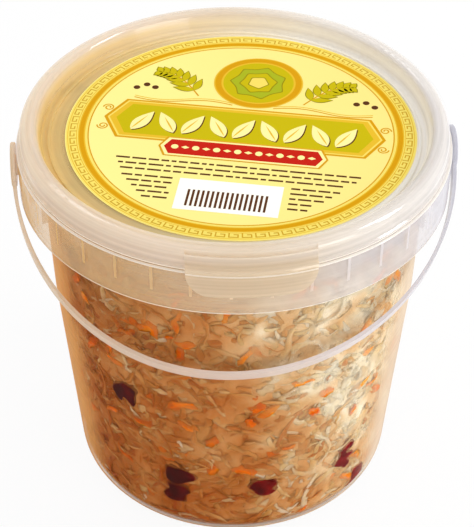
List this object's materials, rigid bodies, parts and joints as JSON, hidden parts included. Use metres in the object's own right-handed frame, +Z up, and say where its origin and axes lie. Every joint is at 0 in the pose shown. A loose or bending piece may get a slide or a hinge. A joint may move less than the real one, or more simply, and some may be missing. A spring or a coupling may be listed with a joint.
{
  "type": "tub of sauerkraut",
  "caption": "Clear plastic tub with a push-on lid, round label and swinging strap handle, filled with shredded sauerkraut, carrot and cranberries.",
  "frame": {"origin": "centre of the tub's flat base, on the surface it stands on", "axes": "+Z up the tub's axis; -Y towards the pull tab and the hanging handle; X along the handle's ear axis"},
  "size_m": [0.128, 0.126, 0.1234],
  "materials": {
    "tub": "clear moulded polypropylene, slightly hazy",
    "lid": "clear moulded polypropylene, slightly hazy",
    "label": null,
    "handle": "natural moulded polypropylene",
    "sauerkraut": "wet shredded cabbage with carrot and cranberries in brine"
  },
  "bodies": {
    "container": {"tub": "tub", "lid": "lid", "label": "label", "sauerkraut": "sauerkraut"},
    "handle": {"handle": "handle"}
  },
  "joints": [
    {"name": "handle_swing", "type": "hinge", "parent": "container", "child": "handle", "pos_m": [0, 0, 0.1099], "axis": [-1, 0, 0], "range_deg": [0, 242]}
  ]
}
